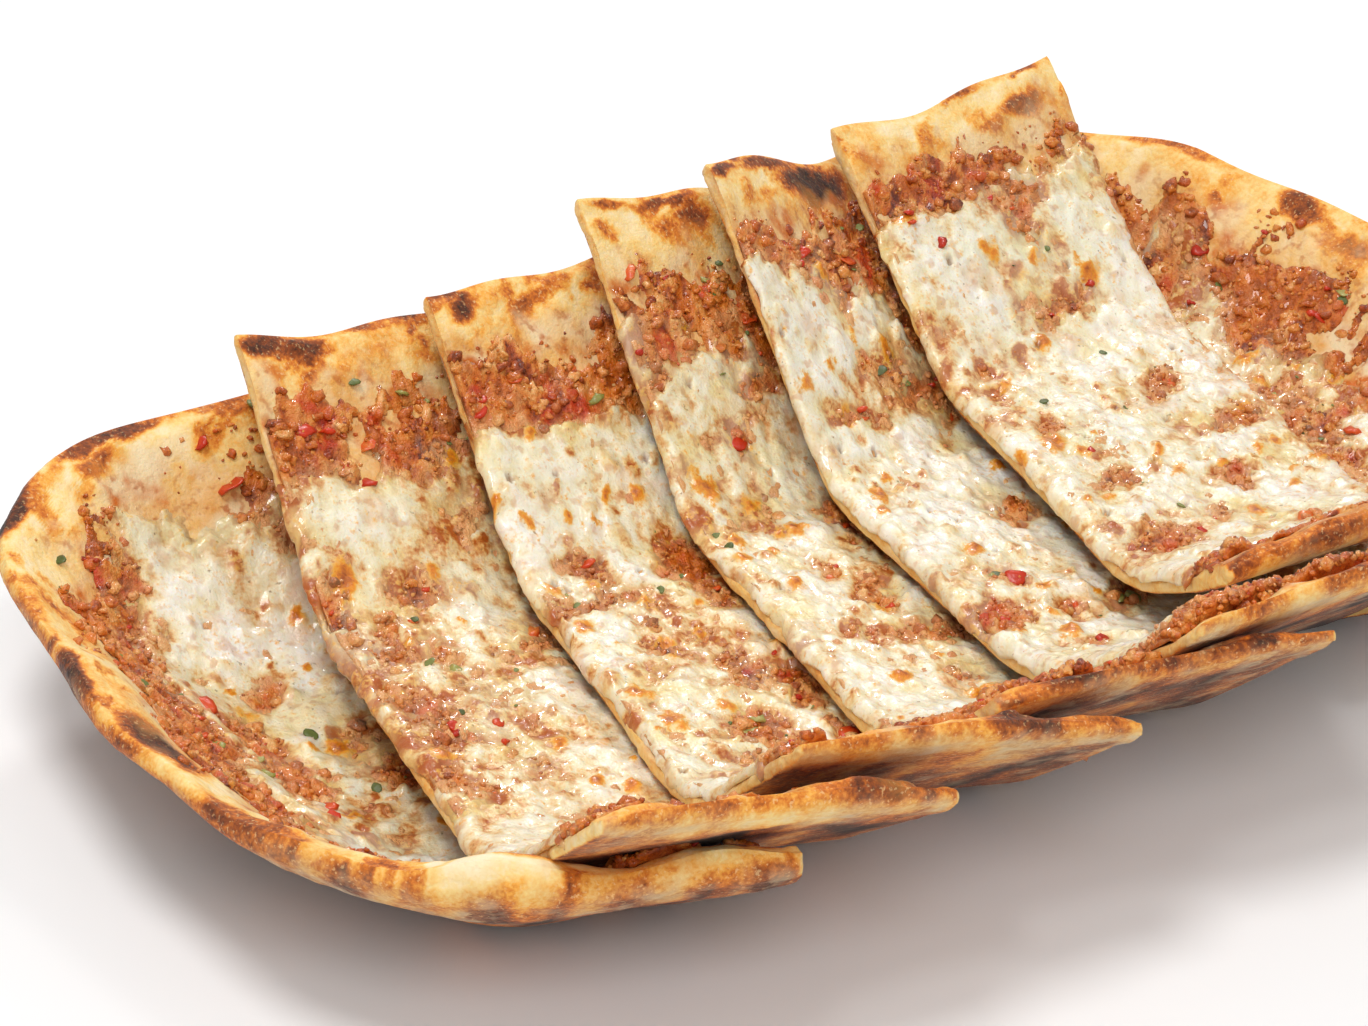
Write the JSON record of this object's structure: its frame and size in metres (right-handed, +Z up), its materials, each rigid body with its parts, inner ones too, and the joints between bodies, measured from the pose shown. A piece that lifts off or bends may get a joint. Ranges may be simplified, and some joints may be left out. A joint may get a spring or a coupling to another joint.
{
  "type": "turkish pide",
  "caption": "Flat boat-shaped bread topped with minced meat and melted cheese, cut across and laid out in overlapping slices between two rounded ends.",
  "frame": {"origin": "middle of the bounding box at the height of the surface it rests on", "axes": "+X from the left rounded end to the right one, +Y towards the far ends of the slices, +Z up"},
  "size_m": [0.285, 0.2283, 0.0572],
  "materials": {
    "dough": "baked bread dough, floury beneath, browned and blistered at the crust",
    "meat": "cooked minced meat and tomato, moist",
    "cheese": "melted cheese, oily, with browned spots"
  },
  "bodies": {
    "root": {"dough_left_end": "dough", "meat_left_end": "meat", "cheese_left_end": "cheese", "dough_slice_2": "dough", "meat_slice_2": "meat", "cheese_slice_2": "cheese", "dough_slice_3": "dough", "meat_slice_3": "meat", "cheese_slice_3": "cheese", "dough_slice_4": "dough", "meat_slice_4": "meat", "cheese_slice_4": "cheese", "dough_slice_5": "dough", "meat_slice_5": "meat", "cheese_slice_5": "cheese", "dough_slice_6": "dough", "meat_slice_6": "meat", "cheese_slice_6": "cheese", "dough_right_end": "dough", "meat_right_end": "meat", "cheese_right_end": "cheese"}
  },
  "joints": []
}
